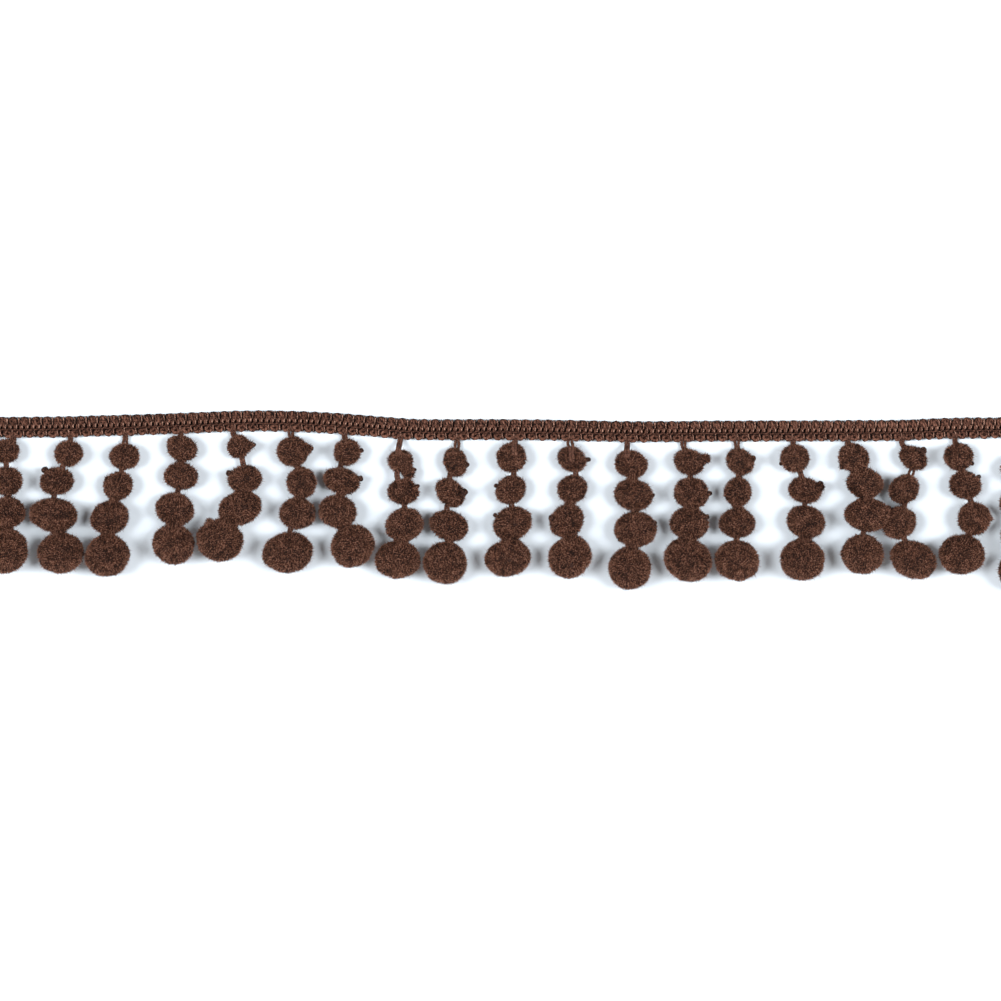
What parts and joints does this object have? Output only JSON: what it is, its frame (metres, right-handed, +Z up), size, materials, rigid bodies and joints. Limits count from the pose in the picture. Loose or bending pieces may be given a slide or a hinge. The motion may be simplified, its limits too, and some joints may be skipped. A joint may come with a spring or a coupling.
{
  "type": "pompom fringe trim",
  "caption": "Cut length of fabric trim laid flat: a narrow crocheted header with hanging drops of cut-pile pompoms that grow towards the tip.",
  "frame": {"origin": "on the table, under the middle of the trim as it lies", "axes": "+X along the header, +Y across the trim from the pompoms' tips to the header, +Z up from the table"},
  "size_m": [0.4832, 0.0817, 0.018],
  "materials": {
    "header_yarn": "matte twisted yarn with a faint sheen",
    "pompom_pile": "matte cut pile"
  },
  "bodies": {
    "root": {"header": "header_yarn", "drop_01": "pompom_pile", "drop_02": "pompom_pile", "drop_03": "pompom_pile", "drop_04": "pompom_pile", "drop_05": "pompom_pile", "drop_06": "pompom_pile", "drop_07": "pompom_pile", "drop_08": "pompom_pile", "drop_09": "pompom_pile", "drop_10": "pompom_pile", "drop_11": "pompom_pile", "drop_12": "pompom_pile", "drop_13": "pompom_pile", "drop_14": "pompom_pile", "drop_15": "pompom_pile", "drop_16": "pompom_pile", "drop_17": "pompom_pile", "drop_18": "pompom_pile", "drop_19": "pompom_pile"}
  },
  "joints": []
}
